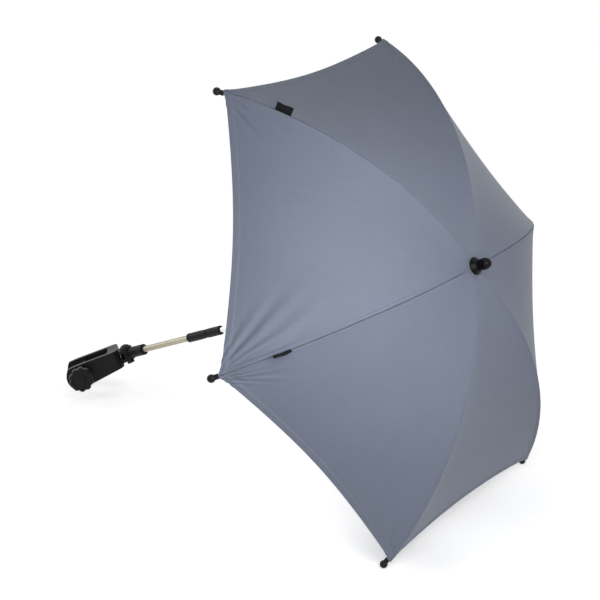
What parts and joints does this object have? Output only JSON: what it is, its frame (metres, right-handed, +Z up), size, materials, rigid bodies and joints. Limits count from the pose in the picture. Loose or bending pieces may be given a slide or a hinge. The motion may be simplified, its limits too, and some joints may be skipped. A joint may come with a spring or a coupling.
{
  "type": "pram parasol",
  "caption": "Open pram parasol with a ribbed frame and cloth canopy that fold by a runner, a shaft with a tilting knuckle, and a screw clamp on a swivel",
  "frame": {"origin": "On the ground, in the middle of the box of the parasol as it lies open on two rib tips and its clamp", "axes": "+Z up from the ground; +X along the shaft's run over the ground, towards the ferrule; the clamp's knob is on the -Y side"},
  "size_m": [0.6954, 0.71, 0.5505],
  "materials": {
    "cloth": "plain woven polyester, slight sheen",
    "label_cloth": "woven tape",
    "steel": "zinc plated spring steel",
    "bright_tube": "bright plated tube",
    "warm_tube": "champagne anodised tube",
    "black_plastic": "moulded, fine grain",
    "gloss_black": "moulded, polished",
    "tip_plastic": "moulded ball",
    "rubber": "soft grip"
  },
  "bodies": {
    "upper_shaft": {"upper_tube": "bright_tube", "knuckle_upper": "black_plastic", "crown": "black_plastic", "crown_wire": "steel", "ferrule": "gloss_black", "stop_pin": "steel"},
    "catch": {"open_catch": "steel"},
    "runner": {"runner": "black_plastic"},
    "lower_shaft": {"knuckle_lower": "black_plastic", "tilt_pin": "steel", "lower_tube": "warm_tube", "clamp_socket": "black_plastic"},
    "clamp": {"clamp_frame": "black_plastic", "fixed_liner": "rubber", "swivel_bolt": "black_plastic", "swivel_nut": "steel"},
    "jaw": {"jaw_plate": "black_plastic", "jaw_liner": "rubber"},
    "screw": {"clamp_screw": "steel", "clamp_knob": "black_plastic"},
    "rib_1": {"rib_1": "steel", "rib_tip_1": "tip_plastic", "seam_label_1": "label_cloth"},
    "stretcher_1": {"stretcher_1": "steel"},
    "panel_1": {"canopy_panel_1": "cloth"},
    "rib_2": {"rib_2": "steel", "rib_tip_2": "tip_plastic", "seam_label_2": "label_cloth"},
    "stretcher_2": {"stretcher_2": "steel"},
    "panel_2": {"canopy_panel_2": "cloth"},
    "rib_3": {"rib_3": "steel", "rib_tip_3": "tip_plastic"},
    "stretcher_3": {"stretcher_3": "steel"},
    "panel_3": {"canopy_panel_3": "cloth"},
    "rib_4": {"rib_4": "steel", "rib_tip_4": "tip_plastic"},
    "stretcher_4": {"stretcher_4": "steel"},
    "panel_4": {"canopy_panel_4": "cloth"},
    "rib_5": {"rib_5": "steel", "rib_tip_5": "tip_plastic"},
    "stretcher_5": {"stretcher_5": "steel"},
    "panel_5": {"canopy_panel_5": "cloth"},
    "rib_6": {"rib_6": "steel", "rib_tip_6": "tip_plastic"},
    "stretcher_6": {"stretcher_6": "steel"},
    "panel_6": {"canopy_panel_6": "cloth"}
  },
  "joints": [
    {"name": "runner_slide", "type": "slide", "parent": "upper_shaft", "child": "runner", "axis": [-0.8915, 0, -0.4529], "range_m": [0, 0.26833], "deforming": ["canopy_panel_1", "canopy_panel_2", "canopy_panel_3", "canopy_panel_4", "canopy_panel_5", "canopy_panel_6"]},
    {"name": "catch_press", "type": "slide", "parent": "upper_shaft", "child": "catch", "axis": [0.4529, 0, -0.8915], "range_m": [0, 0.0022], "stiffness_N_per_m": 300},
    {"name": "tilt_hinge", "type": "hinge", "parent": "upper_shaft", "child": "lower_shaft", "pos_m": [-0.11725, 0, 0.13165], "axis": [0, 1, 0], "range_deg": [0, 90]},
    {"name": "clamp_swivel", "type": "hinge", "parent": "lower_shaft", "child": "clamp", "pos_m": [-0.25954, 0, 0.05936], "axis": [-0.4496, -0.1219, 0.8849], "range_deg": [-132, 48]},
    {"name": "jaw_slide", "type": "slide", "parent": "clamp", "child": "jaw", "axis": [-0.6376, 0.7376, -0.2223], "range_m": [-0.008, 0.012]},
    {"name": "knob_turn", "type": "hinge", "parent": "jaw", "child": "screw", "pos_m": [-0.30458, -0.04782, 0.02989], "axis": [-0.6376, 0.7376, -0.2223], "range_deg": [-960, 1440]},
    {"name": "rib_1_hinge", "type": "hinge", "parent": "upper_shaft", "child": "rib_1", "pos_m": [0.29091, -0.0045, 0.34775], "axis": [0.2265, -0.866, -0.4458], "range_deg": [0, 65.77]},
    {"name": "stretcher_1_hinge", "type": "hinge", "parent": "rib_1", "child": "stretcher_1", "pos_m": [0.19873, -0.0878, 0.46275], "axis": [0.2265, -0.866, -0.4458], "range_deg": [-131.53, 0]},
    {"name": "panel_1_fold", "type": "hinge", "parent": "rib_1", "child": "panel_1", "pos_m": [0.29209, -0.009, 0.34544], "axis": [-0.2379, 0.7557, -0.6102], "range_deg": [0, 63.01]},
    {"name": "rib_2_hinge", "type": "hinge", "parent": "upper_shaft", "child": "rib_2", "pos_m": [0.29444, -0.009, 0.34081], "axis": [0.4529, 0, -0.8915], "range_deg": [0, 65.77]},
    {"name": "stretcher_2_hinge", "type": "hinge", "parent": "rib_2", "child": "stretcher_2", "pos_m": [0.26761, -0.17559, 0.32717], "axis": [0.4529, 0, -0.8915], "range_deg": [-131.53, 0]},
    {"name": "panel_2_fold", "type": "hinge", "parent": "rib_2", "child": "panel_2", "pos_m": [0.29679, -0.009, 0.33617], "axis": [-0.6331, 0.7557, 0.1677], "range_deg": [0, 63.01]},
    {"name": "rib_3_hinge", "type": "hinge", "parent": "upper_shaft", "child": "rib_3", "pos_m": [0.29797, -0.0045, 0.33386], "axis": [0.2265, 0.866, -0.4458], "range_deg": [0, 65.77]},
    {"name": "stretcher_3_hinge", "type": "hinge", "parent": "rib_3", "child": "stretcher_3", "pos_m": [0.33649, -0.0878, 0.1916], "axis": [0.2265, 0.866, -0.4458], "range_deg": [-131.53, 0]},
    {"name": "panel_3_fold", "type": "hinge", "parent": "rib_3", "child": "panel_3", "pos_m": [0.29915, 0, 0.33154], "axis": [-0.8307, 0, 0.5567], "range_deg": [0, 63.01]},
    {"name": "rib_4_hinge", "type": "hinge", "parent": "upper_shaft", "child": "rib_4", "pos_m": [0.29797, 0.0045, 0.33386], "axis": [-0.2265, 0.866, 0.4458], "range_deg": [0, 65.77]},
    {"name": "stretcher_4_hinge", "type": "hinge", "parent": "rib_4", "child": "stretcher_4", "pos_m": [0.33649, 0.0878, 0.1916], "axis": [-0.2265, 0.866, 0.4458], "range_deg": [-131.53, 0]},
    {"name": "panel_4_fold", "type": "hinge", "parent": "rib_4", "child": "panel_4", "pos_m": [0.29679, 0.009, 0.33617], "axis": [-0.6331, -0.7557, 0.1677], "range_deg": [0, 63.01]},
    {"name": "rib_5_hinge", "type": "hinge", "parent": "upper_shaft", "child": "rib_5", "pos_m": [0.29444, 0.009, 0.34081], "axis": [-0.4529, 0, 0.8915], "range_deg": [0, 65.77]},
    {"name": "stretcher_5_hinge", "type": "hinge", "parent": "rib_5", "child": "stretcher_5", "pos_m": [0.26761, 0.17559, 0.32717], "axis": [-0.4529, 0, 0.8915], "range_deg": [-131.53, 0]},
    {"name": "panel_5_fold", "type": "hinge", "parent": "rib_5", "child": "panel_5", "pos_m": [0.29209, 0.009, 0.34544], "axis": [-0.2379, -0.7557, -0.6102], "range_deg": [0, 63.01]},
    {"name": "rib_6_hinge", "type": "hinge", "parent": "upper_shaft", "child": "rib_6", "pos_m": [0.29091, 0.0045, 0.34775], "axis": [-0.2265, -0.866, 0.4458], "range_deg": [0, 65.77]},
    {"name": "stretcher_6_hinge", "type": "hinge", "parent": "rib_6", "child": "stretcher_6", "pos_m": [0.19873, 0.0878, 0.46275], "axis": [-0.2265, -0.866, 0.4458], "range_deg": [-131.53, 0]},
    {"name": "panel_6_fold", "type": "hinge", "parent": "rib_6", "child": "panel_6", "pos_m": [0.28973, 0, 0.35007], "axis": [-0.0403, 0, -0.9992], "range_deg": [0, 63.01]}
  ],
  "couplings": [
    {"joint": "knob_turn", "follows": "jaw_slide", "rad_per_m": 2094.4},
    {"joint": "rib_1_hinge", "follows": "runner_slide", "rad_per_m": 4.2772},
    {"joint": "stretcher_1_hinge", "follows": "runner_slide", "rad_per_m": -8.5545},
    {"joint": "panel_1_fold", "follows": "runner_slide", "rad_per_m": 4.0977},
    {"joint": "rib_2_hinge", "follows": "runner_slide", "rad_per_m": 4.2772},
    {"joint": "stretcher_2_hinge", "follows": "runner_slide", "rad_per_m": -8.5545},
    {"joint": "panel_2_fold", "follows": "runner_slide", "rad_per_m": 4.0977},
    {"joint": "rib_3_hinge", "follows": "runner_slide", "rad_per_m": 4.2772},
    {"joint": "stretcher_3_hinge", "follows": "runner_slide", "rad_per_m": -8.5545},
    {"joint": "panel_3_fold", "follows": "runner_slide", "rad_per_m": 4.0977},
    {"joint": "rib_4_hinge", "follows": "runner_slide", "rad_per_m": 4.2772},
    {"joint": "stretcher_4_hinge", "follows": "runner_slide", "rad_per_m": -8.5545},
    {"joint": "panel_4_fold", "follows": "runner_slide", "rad_per_m": 4.0977},
    {"joint": "rib_5_hinge", "follows": "runner_slide", "rad_per_m": 4.2772},
    {"joint": "stretcher_5_hinge", "follows": "runner_slide", "rad_per_m": -8.5545},
    {"joint": "panel_5_fold", "follows": "runner_slide", "rad_per_m": 4.0977},
    {"joint": "rib_6_hinge", "follows": "runner_slide", "rad_per_m": 4.2772},
    {"joint": "stretcher_6_hinge", "follows": "runner_slide", "rad_per_m": -8.5545},
    {"joint": "panel_6_fold", "follows": "runner_slide", "rad_per_m": 4.0977}
  ]
}
